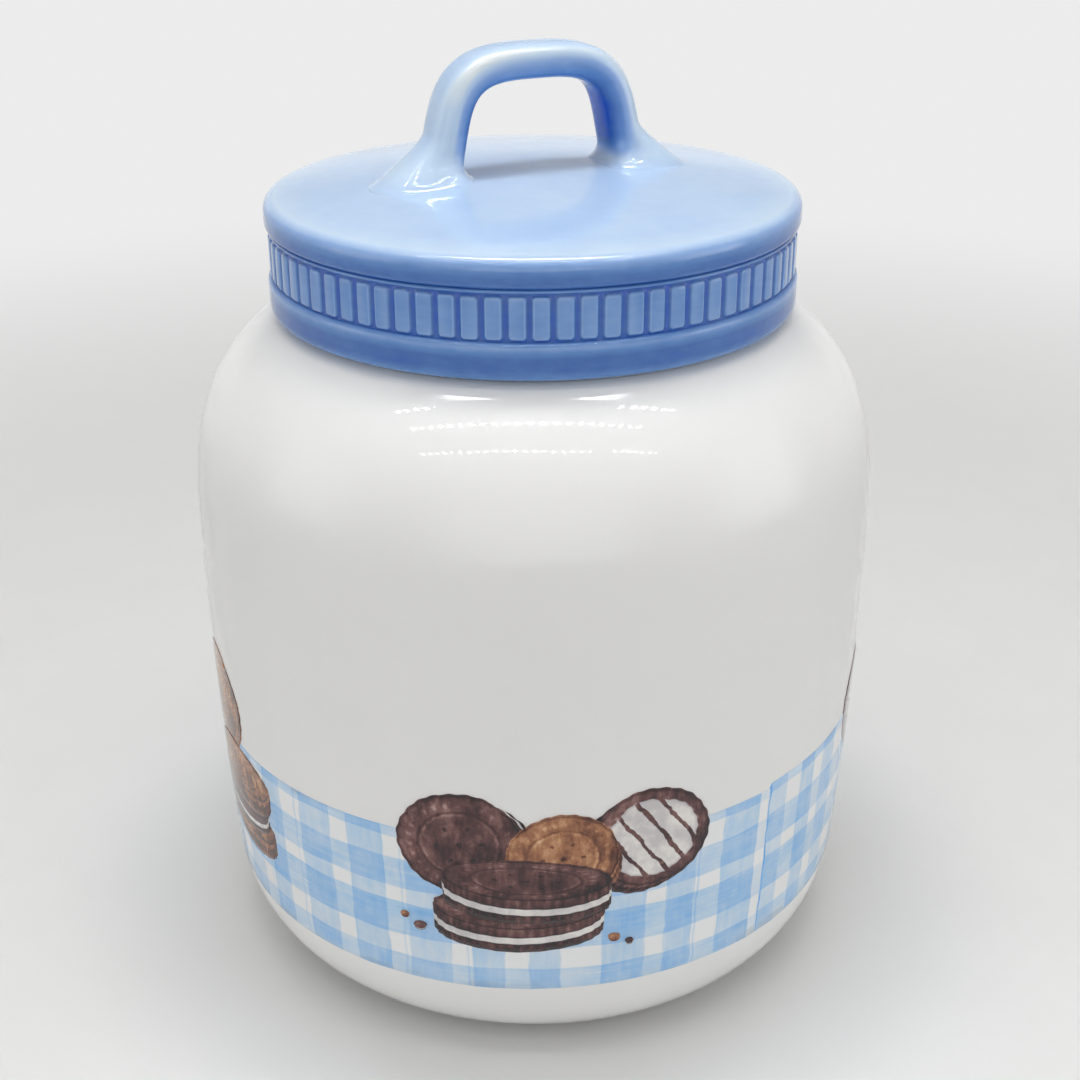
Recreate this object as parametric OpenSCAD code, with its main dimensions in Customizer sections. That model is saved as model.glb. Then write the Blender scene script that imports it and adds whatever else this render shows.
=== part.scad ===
// Stoneware biscuit jar: a tall rounded body, a ribbed cap lid and a looped strap handle.
// Millimetres. The jar stands on z = 0, its axis is Z, and the handle runs along X.

/* [Jar] */
// Largest outside diameter, at the belly
jar_d = 180; // [160:1:210]
// Height from the table to the ledge around the neck
ledge_z = 178.5; // [165:0.1:200]
// Height of the widest ring
belly_z = 117.5; // [100:0.5:125]
// How far the wall draws in from the belly to the foot, on the radius
foot_taper = 5.2; // [1:0.1:9]
// Thickness of the wall
wall = 5; // [4:0.1:6]
// Thickness of the floor
floor_t = 6; // [4.5:0.1:9]
// Width of the rounding between the wall and the foot
base_round_w = 20.6; // [14:0.1:23]
// Height of the rounding between the wall and the foot
base_round_h = 26; // [18:0.1:34]
// Width of the ring that touches the table
foot_ring_w = 7; // [5:0.1:10]
// Depth of the hollow under the floor
foot_recess = 2; // [1:0.1:3]

/* [Shoulder and neck] */
// Outside diameter of the neck, which the lid's skirt drops over
neck_d = 124; // [116:0.5:132]
// Height of the neck above the ledge
neck_h = 22.5; // [20:0.1:26]
// Width of the flat ledge around the neck
ledge_w = 2; // [1:0.1:3]
// Squareness of the shoulder where it leaves the wall
shoulder_square = 3.5; // [3:0.1:5]
// Roundness of the shoulder where it reaches the ledge
shoulder_soft = 1.17; // [1:0.01:1.4]
// Rounding of the rim's two edges
rim_round = 1.4; // [0.8:0.1:1.6]

/* [Lid] */
// Gap between the ledge and the skirt's lower edge
lid_gap = 0.6; // [0.4:0.1:2]
// Gap between the neck and the skirt, on the radius
skirt_gap = 1.2; // [0.8:0.1:2]
// Thickness of the skirt behind the ribbed band
skirt_wall = 3; // [2.4:0.1:4]
// Height of the plain bead at the foot of the skirt
bead_h = 9.2; // [8:0.1:12]
// How far the bead stands out from the band
bead_proud = 1.3; // [0.8:0.1:2]
// How far the plate's lower edge hangs below the rim
plate_drop = 0.5; // [0.2:0.1:1.5]
// Height of the plate's side
plate_h = 7.3; // [6.5:0.1:10]
// How far the plate stands out from the band
plate_proud = 1.5; // [1:0.1:3]
// Rounding of the plate's upper edge
plate_round = 3.1; // [2:0.1:4]
// Rise of the domed top from the plate's edge to its middle
crown = 5.2; // [2:0.1:8]
// Thickness of the domed top
dome_t = 6; // [5:0.1:7]

/* [Ribbed band] */
// Number of raised pads around the band
pads = 78; // [60:1:90]
// Width of one pad
pad_w = 3.4; // [2.5:0.1:3.8]
// How far a pad stands out from the band
pad_proud = 0.8; // [0.4:0.1:1.2]
// Rounding of a pad's corners
pad_round = 0.8; // [0.4:0.1:1.1]
// Plain margin above and below the pads
pad_margin = 0.5; // [0.2:0.1:1.2]
// Turn of the first pad from the handle's line, in degrees
pad_turn = -0.75; // [-2:0.05:2]
// Height of the thin collar between the pads and the plate
collar_h = 1.1; // [0.6:0.1:1.4]
// How far the collar stands out from the band
collar_proud = 0.7; // [0.3:0.1:0.9]

/* [Spigot and seal] */
// Gap between the neck's bore and the spigot, which the seal fills
spigot_gap = 3.5; // [2.8:0.1:4.5]
// Depth of the spigot below the rim
spigot_h = 14; // [12:0.5:18]
// Thickness of the spigot
spigot_wall = 4; // [3.5:0.1:5]
// Depth of the seal's groove in the spigot
groove_d = 1.5; // [1:0.1:1.8]
// Height of the seal's groove
groove_h = 6; // [5:0.1:8]
// Gap around the seal in its groove
seal_fit = 0.1; // [0.05:0.05:0.3]
// Gap between the seal's lips and the neck's bore
seal_clear = 0.3; // [0.2:0.05:0.6]
// Number of lips on the seal
lips = 3; // [2:1:3]

/* [Handle] */
// Height of the handle above the top of the dome
handle_h = 30.6; // [26:0.1:40]
// Distance from the jar's axis to a leg's middle at its foot
leg_x = 25.1; // [23:0.1:28]
// Distance from the jar's axis to a leg's middle at the top
arch_x = 19.9; // [17:0.1:22]
// Half the thickness of the strap at the top, up and down
top_half = 4.4; // [3.5:0.1:5.5]
// Half the thickness of a leg, along the handle
leg_half = 4.7; // [4:0.1:6]
// Half the width of the strap, across the handle
strap_half = 6.6; // [5:0.1:8]
// How far a foot spreads outwards
foot_out = 14; // [8:0.1:16]
// Height over which a foot spreads outwards
foot_out_h = 10; // [7:0.5:14]
// How far a foot spreads inwards, under the arch
foot_in = 4.2; // [2:0.1:5]
// Height over which a foot spreads inwards
foot_in_h = 4.5; // [3:0.5:8]
// How far a foot spreads to each side
foot_side = 5.5; // [2:0.1:7]
// Height over which a foot spreads to each side
foot_side_h = 7; // [5:0.5:12]
// Hollowness of the feet's flare: 2 is a quarter circle, less is nearer a straight slope
foot_curve = 1.5; // [1.3:0.05:2.2]

/* [Hidden] */
$fn = 128;

// Levels along the axis
rim_z = ledge_z + neck_h;
skirt_z = ledge_z + lid_gap;
bead_z = skirt_z + bead_h;
plate_z = rim_z - plate_drop;
edge_z = plate_z + plate_h;
spigot_z = rim_z - spigot_h;
groove_z = spigot_z + (spigot_h - groove_h) / 2;

// Radii of the jar
jar_r = jar_d / 2;
neck_r = neck_d / 2;
bore_r = neck_r - wall;
ledge_r = neck_r + ledge_w;
foot_r = jar_r - foot_taper - base_round_w;

// Radii of the lid
skirt_r = neck_r + skirt_gap;
band_r = skirt_r + skirt_wall;
bead_r = band_r + bead_proud;
plate_r = band_r + plate_proud;
dome_r = plate_r - plate_round;
spigot_r = bore_r - spigot_gap;
spigot_in = spigot_r - spigot_wall;
groove_r = spigot_r - groove_d;

// Small roundings of the moulds
bead_round_top = 1.2;
bead_round_foot = 2.4;
plate_round_foot = 1.6;
tip_round = 1.2;
edge_round = 0.7;

// Handle: exponents of the arch and of the strap's section, and the loft's grid
arch_up = 6;
arch_across = 3.16;
section_square = 3;
leg_steps = 13;
top_steps = 18;
section_sides = 24;
// Share of the arch's rise that is laid out by height; the rest is laid out by angle
leg_share = 0.9;
// How strongly the sections close up towards a foot
leg_gather = 1.6;
// Seam of glaze left between a foot and the dome
foot_seam = 0.06;
// Thickness at which a foot's spread edge stops, instead of running out to nothing
foot_edge = 0.25;

// ---- Outlines ----

// Points of an arc about [x, y], from angle a to angle b
function arc(x, y, r, a, b, n = 6) =
    [for (i = [0 : n]) let (t = a + (b - a) * i / n) [x + r * cos(t), y + r * sin(t)]];

// The same outline moved square to itself by d, to the left of its direction
function inset(p, d) = [
    for (i = [0 : len(p) - 1])
        let (
            before = p[max(i - 1, 0)],
            after = p[min(i + 1, len(p) - 1)],
            along = (after - before) / norm(after - before)
        )
        p[i] + d * [-along[1], along[0]]
];

// Radius of the wall between foot and belly, before the base is rounded: a flat parabola
function wall_r(z) = jar_r - foot_taper * pow((belly_z - z) / belly_z, 2);

// Quarter ellipse from the foot up to the wall
function base_side(n = 14) = [
    for (i = [0 : n])
        let (t = 90 * i / n, z = base_round_h * (1 - cos(t)))
        [wall_r(z) - base_round_w * (1 - sin(t)), z]
];

function belly_side(n = 8) = [
    for (i = [1 : n])
        let (z = base_round_h + (belly_z - base_round_h) * i / n)
        [wall_r(z), z]
];

// Superellipse from the belly up and in to the ledge
function shoulder_side(n = 20) = [
    for (i = [1 : n])
        let (u = i / n, v = pow(1 - pow(u, shoulder_square), 1 / shoulder_soft))
        [ledge_r + (jar_r - ledge_r) * v, belly_z + (ledge_z - belly_z) * u]
];

function jar_side() = concat(base_side(), belly_side(), shoulder_side());

// Height of the lid's domed top at distance r from the axis
function dome_z(r) = edge_z + crown * (1 - pow(r / dome_r, 2));

function dome_line(from, to, drop = 0, n = 12) = [
    for (i = [0 : n])
        let (r = from + (to - from) * i / n)
        [r, dome_z(r) - drop]
];

// ---- Jar ----

module jar_body() {
    outer = jar_side();
    floor_z = foot_recess + floor_t;
    inner = [for (p = inset(outer, wall)) if (p[1] > floor_z + 1 && p[0] > bore_r + 1) p];
    foot_in_r = foot_r - foot_ring_w;
    color("white") rotate_extrude() polygon(concat(
        [[0, foot_recess], [foot_in_r - foot_recess, foot_recess], [foot_in_r, 0]],
        outer,
        [[neck_r + edge_round, ledge_z]],
        arc(neck_r + edge_round, ledge_z + edge_round, edge_round, 270, 180, 3),
        arc(neck_r - rim_round, rim_z - rim_round, rim_round, 0, 90),
        arc(bore_r + rim_round, rim_z - rim_round, rim_round, 90, 180),
        [[bore_r, ledge_z + 1]],
        [for (i = [len(inner) - 1 : -1 : 0]) inner[i]],
        [[inner[0][0] - 3, floor_z], [0, floor_z]]
    ));
}

// ---- Lid ----

// Outline of the cap without its pads, from the dome's underside out, down and back over the top
module cap_outline() {
    polygon(concat(
        dome_line(0, spigot_in, dome_t, 8),
        arc(spigot_in + tip_round, spigot_z + tip_round, tip_round, 180, 270, 4),
        arc(spigot_r - tip_round, spigot_z + tip_round, tip_round, 270, 360, 4),
        [[spigot_r, groove_z], [groove_r, groove_z]],
        [[groove_r, groove_z + groove_h], [spigot_r, groove_z + groove_h]],
        [[spigot_r, rim_z], [skirt_r, rim_z]],
        [[skirt_r, skirt_z + edge_round], [skirt_r + edge_round, skirt_z]],
        arc(bead_r - bead_round_foot, skirt_z + bead_round_foot, bead_round_foot, 270, 360),
        arc(bead_r - bead_round_top, bead_z - bead_round_top, bead_round_top, 0, 90, 4),
        [[band_r, bead_z], [band_r, plate_z - collar_h]],
        [for (t = [30 : 30 : 180])
            [band_r + collar_proud * sin(t), plate_z - collar_h * (1 + cos(t)) / 2]],
        arc(plate_r - plate_round_foot, plate_z + plate_round_foot, plate_round_foot, 270, 360, 5),
        arc(plate_r - plate_round, edge_z - plate_round, plate_round, 0, 90, 7),
        dome_line(dome_r, 0, 0, 14)
    ));
}

// One pad, standing out along X from the band
module pad(height) {
    w = pad_w / 2 - pad_round;
    h = height / 2 - pad_round;
    translate([band_r - skirt_wall / 4, 0, 0])
        rotate([90, 0, 90])
            linear_extrude(skirt_wall / 4 + pad_proud)
                polygon(concat(
                    arc(w, h, pad_round, 0, 90, 2),
                    arc(-w, h, pad_round, 90, 180, 2),
                    arc(-w, -h, pad_round, 180, 270, 2),
                    arc(w, -h, pad_round, 270, 360, 2)
                ));
}

module lid_cap() {
    low = bead_z + pad_margin;
    high = plate_z - collar_h - pad_margin;
    color("cornflowerblue") {
        rotate_extrude() cap_outline();
        for (i = [0 : pads - 1])
            rotate([0, 0, pad_turn + 360 * i / pads])
                translate([0, 0, (low + high) / 2])
                    pad(high - low);
    }
}

// ---- Handle ----

// Foot height of the legs' middle line, and its rise to the top of the arch
leg_z = dome_z(leg_x);
arch_rise = dome_z(0) + handle_h - top_half - leg_z;

// Middle line of the strap at angle t, 0 to 180 from the right foot over to the left: [x, z]
function arch(t) =
    let (
        up = pow(sin(t), 2 / arch_up),
        half = arch_x + (leg_x - arch_x) * (1 - up),
        across = pow(abs(cos(t)), 2 / arch_across)
    )
    [half * across * sign(cos(t)), leg_z + arch_rise * up];

// Direction of the middle line
function arch_way(t) =
    let (
        e = max(0.001, min(t, 180 - t) / 20),
        d = arch(min(t + e, 180)) - arch(max(t - e, 0))
    )
    d / norm(d);

// Spread of a foot at height z above its seat: a hollow curve, near 1 at the seat and 0 from h up
function spread(z, h) =
    z > h ? 0 : 1 - pow(1 - pow((h - z) / (h + foot_edge), foot_curve), 1 / foot_curve);

// One section of the strap: square to the middle line above, and turning to lie along the dome
// as it comes down to the seat
function strap_ring(t) =
    let (
        c = arch(t),
        way = arch_way(t),
        up = c[1] - leg_z,
        thick = leg_half + (top_half - leg_half) * pow(up / arch_rise, 2),
        outward = thick + foot_out * spread(up, foot_out_h),
        inward = thick + foot_in * spread(up, foot_in_h),
        half_width = strap_half + foot_side * spread(up, foot_side_h),
        level = up < foot_out_h ? pow(1 - up / foot_out_h, 2) : 0
    )
    [for (i = [0 : section_sides - 1])
        let (
            a = 360 * i / section_sides,
            ca = sign(cos(a)) * pow(abs(cos(a)), 2 / section_square),
            sa = sign(sin(a)) * pow(abs(sin(a)), 2 / section_square),
            off = ca > 0 ? ca * outward : ca * inward,
            x = c[0] + off * way[1],
            y = half_width * sa,
            slope = dome_z(norm([x, y])) - leg_z,
            z = c[1] - off * way[0] * (1 - level) + slope * level
        )
        [x, y, z + foot_seam]];

module lid_handle() {
    // The sections close up towards the feet, where the strap spreads
    leg = [for (i = [0 : leg_steps])
        asin(pow(leg_share * pow(i / leg_steps, leg_gather), arch_up / 2))];
    bend = leg[leg_steps];
    top = [for (i = [1 : top_steps - 1]) bend + (180 - 2 * bend) * i / top_steps];
    angles = concat(leg, top, [for (i = [leg_steps : -1 : 0]) 180 - leg[i]]);
    steps = len(angles) - 1;
    rings = [for (t = angles) strap_ring(t)];
    n = section_sides;
    last = steps * n;
    feet = [for (x = [leg_x, -leg_x]) [x, 0, dome_z(leg_x) + foot_seam]];
    color("lightskyblue") polyhedron(
        points = concat([for (ring = rings) each ring], feet),
        faces = concat(
            [for (j = [0 : steps - 1], i = [0 : n - 1])
                let (a = j * n + i, b = j * n + (i + 1) % n) each [[a, a + n, b], [b, a + n, b + n]]],
            [for (i = [0 : n - 1]) [i, (i + 1) % n, last + n]],
            [for (i = [0 : n - 1]) [last + (i + 1) % n, last + i, last + n + 1]]
        )
    );
}

// ---- Seal ----

module seal_ring() {
    inner_r = groove_r + seal_fit;
    back_r = spigot_r + 0.6;
    lip_r = bore_r - seal_clear;
    low = groove_z + seal_fit;
    high = groove_z + groove_h - seal_fit;
    pitch = (high - low) / lips;
    root = pitch * 0.3;
    tip = 0.25;
    rise = 0.6;
    color("gainsboro") rotate_extrude() polygon(concat(
        [[inner_r, low], [back_r, low]],
        [for (i = [0 : lips - 1])
            let (z = low + pitch * (i + 0.5))
            each [[back_r, z - root], [lip_r, z + rise - tip], [lip_r, z + rise + tip], [back_r, z + root]]],
        [[back_r, high], [inner_r, high]]
    ));
}

jar_body();
lid_cap();
lid_handle();
seal_ring();
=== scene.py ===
# Biscuit jar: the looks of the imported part.
# Shapes are worked out in millimetres and go into the meshes in metres.
import math

import bpy
import numpy as np
from mathutils import Matrix, Vector


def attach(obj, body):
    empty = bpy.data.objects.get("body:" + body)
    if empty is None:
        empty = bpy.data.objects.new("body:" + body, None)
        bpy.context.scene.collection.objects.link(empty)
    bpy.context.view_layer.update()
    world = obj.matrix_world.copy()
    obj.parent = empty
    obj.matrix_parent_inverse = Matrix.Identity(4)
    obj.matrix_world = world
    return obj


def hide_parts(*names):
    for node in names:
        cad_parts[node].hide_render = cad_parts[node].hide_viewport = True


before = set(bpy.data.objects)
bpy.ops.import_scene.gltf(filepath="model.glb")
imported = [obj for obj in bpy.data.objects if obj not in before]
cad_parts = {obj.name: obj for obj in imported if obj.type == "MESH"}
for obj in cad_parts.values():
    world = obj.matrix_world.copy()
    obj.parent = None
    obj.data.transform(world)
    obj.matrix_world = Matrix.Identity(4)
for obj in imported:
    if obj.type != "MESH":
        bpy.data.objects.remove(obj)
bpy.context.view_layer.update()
mm = 0.001
print("frame:", ", ".join(sorted(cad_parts)))


# ---- camera ----

shot = {
    "turn": 23.1,  # degrees to the left of the jar's front
    "away": 420.6,  # level distance from the jar's axis
    "height": 305.35,
    "down": 25.0,  # degrees below level
    "roll": 0.30,
    "lens": 55.75,
    "shiftX": 0.0053,
}

turn = math.radians(shot["turn"])
rightWay = Vector((math.cos(turn), -math.sin(turn), 0))
awayWay = Vector((math.sin(turn), math.cos(turn), 0))
upWay = Vector((0, 0, 1))


# a place counted from the jar's foot: to the camera's right, away from it, and up
def inShot(right, away, up):
    return (rightWay * right + awayWay * away + upWay * up) * mm


def makeCamera():
    down, roll = math.radians(shot["down"]), math.radians(shot["roll"])
    ahead = awayWay * math.cos(down) - upWay * math.sin(down)
    upright = rightWay.cross(ahead)
    side = rightWay * math.cos(roll) - upright * math.sin(roll)
    top = rightWay * math.sin(roll) + upright * math.cos(roll)
    data = bpy.data.cameras.new("shotCamera")
    data.lens = shot["lens"]
    data.sensor_width = 36
    data.shift_x = shot["shiftX"]
    data.clip_start = 0.01
    camera = bpy.data.objects.new("shotCamera", data)
    camera.matrix_world = Matrix((side, top, -ahead)).transposed().to_4x4()
    camera.location = inShot(0, -shot["away"], shot["height"])
    bpy.context.scene.collection.objects.link(camera)
    bpy.context.scene.camera = camera


makeCamera()
print("camera placed")


# ---- node helpers ----


# a node tree with short calls: each adds a node, feeds it and gives back what it puts out
class Nodes:
    def __init__(self, tree):
        self.tree = tree

    # puts values or links into a node's inputs; the keys are socket names or numbers
    def feed(self, node, inputs):
        for key, value in inputs.items():
            socket = node.inputs[key]
            if isinstance(value, bpy.types.NodeSocket):
                self.tree.links.new(value, socket)
            elif socket.type == "RGBA":
                socket.default_value = (*value[:3], 1)
            else:
                socket.default_value = value
        return node

    def add(self, kind, inputs=None, **settings):
        node = self.tree.nodes.new("ShaderNode" + kind)
        for key, value in settings.items():
            setattr(node, key, value)
        return self.feed(node, inputs or {})

    def math(self, operation, a, b=0.0, clamp=False):
        node = self.add("Math", {0: a, 1: b}, operation=operation, use_clamp=clamp)
        return node.outputs[0]

    def plus(self, a, b, clamp=False):
        return self.math("ADD", a, b, clamp)

    def minus(self, a, b):
        return self.math("SUBTRACT", a, b)

    def times(self, a, b):
        return self.math("MULTIPLY", a, b)

    def vector(self, operation, a, b=(0.0, 0.0, 0.0), scale=1.0):
        return self.add("VectorMath", {0: a, 1: b, 3: scale}, operation=operation).outputs

    def mix(self, share, a, b, blend="MIX", clamp=True):
        settings = {"data_type": "RGBA", "blend_type": blend, "clamp_factor": clamp}
        return self.add("Mix", {0: share, 6: a, 7: b}, **settings).outputs[2]

    # a value carried from one span to another, with soft ends or straight
    def remap(self, value, low, high, to0=0.0, to1=1.0, smooth=True):
        kind = "SMOOTHSTEP" if smooth else "LINEAR"
        inputs = {0: value, 1: low, 2: high, 3: to0, 4: to1}
        return self.add("MapRange", inputs, interpolation_type=kind).outputs[0]

    # 1 where the value lies within half of the middle, softly 0 outside
    def near(self, value, middle, half, soft):
        return self.remap(self.math("ABSOLUTE", self.minus(value, middle)), half + soft, half)

    def ramp(self, share, stops):
        node = self.add("ValToRGB", {0: share})
        elements = node.color_ramp.elements
        while len(elements) < len(stops):
            elements.new(0.5)
        for element, (place, colour) in zip(elements, stops):
            element.position = place
            element.color = (*colour, 1)
        return node.outputs[0]

    def noise(self, place, scale, detail=2.0, roughness=0.5):
        inputs = {"Vector": place, "Scale": scale, "Detail": detail, "Roughness": roughness}
        return self.add("TexNoise", inputs).outputs[0]

    def mapped(self, place, turn=(0, 0, 0), scale=(1, 1, 1)):
        return self.add("Mapping", {0: place, 2: turn, 3: scale}).outputs[0]

    def split(self, vector):
        return self.add("SeparateXYZ", {0: vector}).outputs

    def coordinate(self, name):
        return self.add("TexCoord").outputs[name]

    def attribute(self, name):
        return self.add("Attribute", attribute_name=name).outputs[2]

    def group(self, group, inputs):
        return self.add("Group", inputs, node_tree=group).outputs

    # lays the nodes out in columns, each left of whatever it feeds
    def arrange(self):
        column = {node.name: 0 for node in self.tree.nodes}
        for _ in self.tree.nodes:
            for link in self.tree.links:
                left = column[link.to_node.name] + 1
                column[link.from_node.name] = max(column[link.from_node.name], left)
        filled = [0] * (max(column.values()) + 1)
        for node in self.tree.nodes:
            at = column[node.name]
            node.location = (-240 * at, -200 * filled[at])
            filled[at] += 1


# an empty group with its sockets: inputs as (name, kind, value), outputs as (name, kind)
def newGroup(name, inputs, outputs):
    group = bpy.data.node_groups.new(name, "ShaderNodeTree")
    for label, kind, value in inputs:
        socket = group.interface.new_socket(label, in_out="INPUT", socket_type="NodeSocket" + kind)
        if value is not None:
            socket.default_value = value
    for label, kind in outputs:
        group.interface.new_socket(label, in_out="OUTPUT", socket_type="NodeSocket" + kind)
    given = group.nodes.new("NodeGroupInput").outputs
    return Nodes(group), given, group.nodes.new("NodeGroupOutput")


def newMaterial(name):
    material = bpy.data.materials.new(name)
    material.use_nodes = True
    n = Nodes(material.node_tree)
    n.tree.nodes.clear()
    shader = n.add("BsdfPrincipled")
    n.add("OutputMaterial", {0: shader.outputs[0]})
    return material, n, shader


# ---- shared effects ----

skin = {
    "driftScale": 95.0,
    "speckScale": 34.0,
    "speckShare": 0.55,  # cells numbered below this hold no speck
    "wave": 0.00016,  # height of the waves in the glaze, in metres
}


# The skin of a fired glaze: long soft waves and a fine peel in its height, a roughness that
# drifts a little, and sparse iron specks.
def makeGlazeSkin():
    inputs = [
        ("Wave Scale", "Float", 42.0),
        ("Peel Scale", "Float", 420.0),
        ("Peel Share", "Float", 0.12),
        ("Roughness", "Float", 0.08),
        ("Roughness Drift", "Float", 0.03),
        ("Speck Size", "Float", 0.012),
    ]
    outputs = [("Height", "Float"), ("Roughness", "Float"), ("Speck", "Float")]
    n, given, out = newGroup("glazeSkin", inputs, outputs)
    place = n.coordinate("Object")
    waves = n.noise(place, given["Wave Scale"], 1.0)
    peel = n.times(n.noise(place, given["Peel Scale"], 2.0), given["Peel Share"])
    drift = n.times(n.minus(n.noise(place, skin["driftScale"], 3.0), 0.5), given["Roughness Drift"])
    rough = n.plus(drift, given["Roughness"], clamp=True)
    cells = n.add("TexVoronoi", {"Vector": place, "Scale": skin["speckScale"]}).outputs
    number = n.add("SeparateColor", {0: cells["Color"]}).outputs[0]
    chosen = n.math("GREATER_THAN", number, skin["speckShare"])
    size = given["Speck Size"]
    dot = n.remap(cells["Distance"], size, n.times(size, 0.4))
    n.feed(out, {"Height": n.plus(waves, peel), "Roughness": rough, "Speck": n.times(dot, chosen)})
    n.arrange()
    return n.tree


# Bare fired clay where the mark is 1, with a wandering glaze line: a warm pale colour with
# sandy grain, and how rough it is.
def makeBareClay():
    inputs = [
        ("Colour", "Color", (0.8, 0.8, 0.8, 1)),
        ("Roughness", "Float", 0.08),
        ("Bare", "Float", 0.0),
    ]
    outputs = [("Colour", "Color"), ("Roughness", "Float")]
    n, given, out = newGroup("bareClay", inputs, outputs)
    place = n.coordinate("Object")
    wander = n.times(n.noise(place, 130.0, 3.0), 0.5)
    mask = n.remap(n.plus(wander, given["Bare"]), 0.68, 0.82)
    grain = n.noise(place, 2600.0, 3.0)
    clay = n.ramp(grain, [(0.3, (0.52, 0.44, 0.35)), (0.7, (0.70, 0.63, 0.54))])
    rougher = n.times(n.minus(0.9, given["Roughness"]), mask)
    colour = n.mix(mask, given["Colour"], clay)
    n.feed(out, {"Colour": colour, "Roughness": n.plus(rougher, given["Roughness"])})
    n.arrange()
    return n.tree


# Strokes of a nearly dry brush: noise drawn out along one way of a flat place in mm, and
# broad patches where more or less colour was laid.
def makeBrush():
    inputs = [
        ("Place", "Vector", None),
        ("Stroke Length", "Float", 30.0),
        ("Stroke Width", "Float", 0.8),
        ("Dryness", "Float", 0.35),
    ]
    outputs = [("Streak", "Float"), ("Dry", "Float"), ("Pool", "Float")]
    n, given, out = newGroup("brushStrokes", inputs, outputs)
    x, y, _ = n.split(given["Place"])
    along = n.math("DIVIDE", x, given["Stroke Length"])
    across = n.math("DIVIDE", y, given["Stroke Width"])
    drawn = n.add("CombineXYZ", {0: along, 1: across}).outputs[0]
    streak = n.noise(drawn, 1.0, 4.0, 0.62)
    edge = n.plus(given["Dryness"], 0.05)
    dry = n.remap(n.noise(drawn, 0.45, 5.0, 0.75), edge, given["Dryness"])
    pool = n.noise(given["Place"], 0.11, 3.0, 0.6)
    n.feed(out, {"Streak": streak, "Dry": dry, "Pool": pool})
    n.arrange()
    return n.tree


glazeSkin = makeGlazeSkin()
bareClay = makeBareClay()
brushStrokes = makeBrush()
print("shared effects made")


# ---- materials ----

white = {
    "colour": (0.85, 0.845, 0.83),
    "pooled": (0.81, 0.815, 0.81),  # where the glaze lies thick
    "speck": (0.09, 0.075, 0.06),
    "toneScale": 18.0,
    "skin": {"Roughness": 0.045, "Peel Share": 0.015},
}

blue = {
    # colour of the glaze from bare edges to deep pools
    "depths": [
        (0.0, (0.80, 0.82, 0.78)),
        (0.12, (0.53, 0.67, 0.83)),
        (0.30, (0.27, 0.43, 0.75)),
        (0.54, (0.095, 0.25, 0.60)),
        (0.80, (0.035, 0.14, 0.46)),
        (1.0, (0.003, 0.08, 0.52)),
    ],
    "speck": (0.02, 0.06, 0.2),
    "mottle": 0.11,
    "mottleScale": 210.0,
    "cloud": 0.14,
    "cloudScale": 46.0,
    "ior": 1.62,
    "skin": {"Roughness": 0.065, "Wave Scale": 75.0, "Peel Share": 0.03, "Speck Size": 0.006},
}

wash = {
    "ground": (0.85, 0.86, 0.87),
    "row": (0.55, 0.765, 0.985),  # what one full wash lets through
    "column": (0.60, 0.79, 0.985),
    "rowBrush": {"Stroke Length": 30.0, "Stroke Width": 1.4, "Dryness": 0.33},
    "columnBrush": {"Stroke Length": 22.0, "Stroke Width": 2.2, "Dryness": 0.30},
    "skin": {"Roughness": 0.08, "Peel Share": 0.06},
}

paint = {
    # from the deepest brush mark to the lightest
    "chocolate": [
        (0.0, (0.012, 0.005, 0.008)),
        (0.28, (0.052, 0.018, 0.020)),
        (0.55, (0.120, 0.048, 0.046)),
        (0.80, (0.235, 0.115, 0.105)),
        (1.0, (0.42, 0.27, 0.24)),
    ],
    "golden": [
        (0.0, (0.060, 0.018, 0.012)),
        (0.28, (0.20, 0.072, 0.036)),
        (0.55, (0.40, 0.175, 0.080)),
        (0.80, (0.60, 0.33, 0.165)),
        (1.0, (0.76, 0.55, 0.36)),
    ],
    "cream": (0.80, 0.775, 0.74),
    "creamShade": (0.50, 0.47, 0.49),
    # on a face: distance from its middle, half width and softness
    "groove": (0.66, 0.012, 0.03),
    "lip": (0.61, 0.012, 0.03),
    "dotRing": (0.80, 0.03, 0.035),
    "dots": 26.0,
    "holeRing": (0.36, 0.03, 0.02),
    "holes": 6.0,
    # on a side: how far down, half width and softness
    "filling": (0.52, 0.11, 0.04),
    "fillingShade": (0.52, 0.15, 0.06),
    "ridges": 52.0,
    "skin": {"Roughness": 0.08, "Peel Share": 0.015},
}


# gives a shader its colour and the relief and gloss of a glaze's skin; where a mark says
# so, bare clay shows
def glazed(n, shader, colour, surface, bare=None):
    rough = surface["Roughness"]
    if bare:
        inputs = {"Colour": colour, "Roughness": rough, "Bare": n.attribute(bare)}
        foot = n.group(bareClay, inputs)
        colour, rough = foot["Colour"], foot["Roughness"]
    relief = n.add("Bump", {"Distance": skin["wave"], "Height": surface["Height"]}).outputs[0]
    n.feed(shader, {"Base Color": colour, "Roughness": rough, "Normal": relief})
    n.arrange()


# glossy off-white glaze, a little cooler in the corners, bare clay on the foot
def makeWhiteGlaze():
    material, n, shader = newMaterial("whiteGlaze")
    surface = n.group(glazeSkin, white["skin"])
    tone = n.noise(n.coordinate("Object"), white["toneScale"], 2.0)
    shift = n.remap(tone, 0.3, 0.7, 0.0, 0.35)
    depth = n.plus(shift, n.attribute("glazeDepth"), clamp=True)
    colour = n.mix(depth, white["colour"], white["pooled"])
    marked = n.mix(surface["Speck"], colour, white["speck"])
    glazed(n, shader, marked, surface, "bareClay")
    return material


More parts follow.
